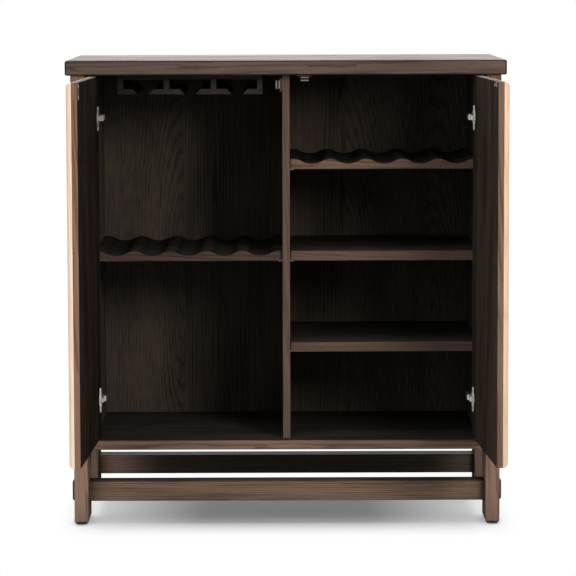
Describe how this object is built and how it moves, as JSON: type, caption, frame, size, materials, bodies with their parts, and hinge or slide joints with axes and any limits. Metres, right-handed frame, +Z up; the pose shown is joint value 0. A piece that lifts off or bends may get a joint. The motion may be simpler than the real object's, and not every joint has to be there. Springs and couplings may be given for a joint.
{
  "type": "bar armoire",
  "caption": "Two-tone oak bar cabinet on plank posts with inset hinged doors, scalloped bottle racks, plain shelves and a hanging stemware rack.",
  "frame": {"origin": "on the floor, in the middle of the rectangle that the four posts make", "axes": "+X to the right as one faces the doors, +Y to the back of the cabinet, +Z up"},
  "size_m": [1.016, 0.9355, 1.08],
  "materials": {
    "smoked_oak": "dark smoked oak, satin lacquer",
    "pale_oak": "pale oak, matt lacquer",
    "beech": "raw beech",
    "nickel": "satin nickel plate",
    "dark_steel": "blackened screws",
    "brown_plastic": "moulded red-brown plastic",
    "ferrite": "sintered ferrite",
    "black_plastic": "moulded black plastic"
  },
  "bodies": {
    "carcass": {"back_panel": "smoked_oak", "back_screws": "dark_steel", "bottom_panel": "smoked_oak", "catch_screws": "nickel", "centre_divider": "smoked_oak", "foot_glides": "black_plastic", "front_stretcher": "smoked_oak", "glass_rack_board": "smoked_oak", "glass_rack_screws": "dark_steel", "glass_rail_left_edge": "smoked_oak", "glass_rail_left_tee": "smoked_oak", "glass_rail_right_edge": "smoked_oak", "glass_rail_right_tee": "smoked_oak", "hinge_arm_screws": "nickel", "hinge_plate_screws": "nickel", "left_bottle_rack": "smoked_oak", "left_catch_housing": "brown_plastic", "left_catch_magnet": "ferrite", "left_catch_poles": "nickel", "left_lower_hinge_arm": "nickel", "left_lower_hinge_plate": "nickel", "left_upper_hinge_arm": "nickel", "left_upper_hinge_plate": "nickel", "leg_dowels": "beech", "leg_front_left": "smoked_oak", "leg_front_right": "smoked_oak", "leg_rear_left": "smoked_oak", "leg_rear_right": "smoked_oak", "lower_shelf": "smoked_oak", "middle_shelf": "smoked_oak", "rear_stretcher": "smoked_oak", "right_bottle_rack": "smoked_oak", "right_catch_housing": "brown_plastic", "right_catch_magnet": "ferrite", "right_catch_poles": "nickel", "right_lower_hinge_arm": "nickel", "right_lower_hinge_plate": "nickel", "right_upper_hinge_arm": "nickel", "right_upper_hinge_plate": "nickel", "shelf_pins": "nickel", "side_panel_left": "smoked_oak", "side_panel_right": "smoked_oak", "top_dowels": "beech", "top_panel": "smoked_oak"},
    "left_door": {"left_cup_screws": "nickel", "left_door_front": "pale_oak", "left_door_panel": "smoked_oak", "left_hinge_pins": "nickel", "left_lower_hinge_cup": "nickel", "left_strike_plate": "nickel", "left_strike_screws": "nickel", "left_upper_hinge_cup": "nickel"},
    "right_door": {"right_cup_screws": "nickel", "right_door_front": "pale_oak", "right_door_panel": "smoked_oak", "right_hinge_pins": "nickel", "right_lower_hinge_cup": "nickel", "right_strike_plate": "nickel", "right_strike_screws": "nickel", "right_upper_hinge_cup": "nickel"}
  },
  "joints": [
    {"name": "left_door_hinge", "type": "hinge", "parent": "carcass", "child": "left_door", "pos_m": [-0.443, -0.23, 0.62175], "axis": [0, 0, -1], "range_deg": [-92.2, 3.8]},
    {"name": "right_door_hinge", "type": "hinge", "parent": "carcass", "child": "right_door", "pos_m": [0.443, -0.23, 0.62175], "axis": [0, 0, 1], "range_deg": [-93.1, 2.9]}
  ]
}
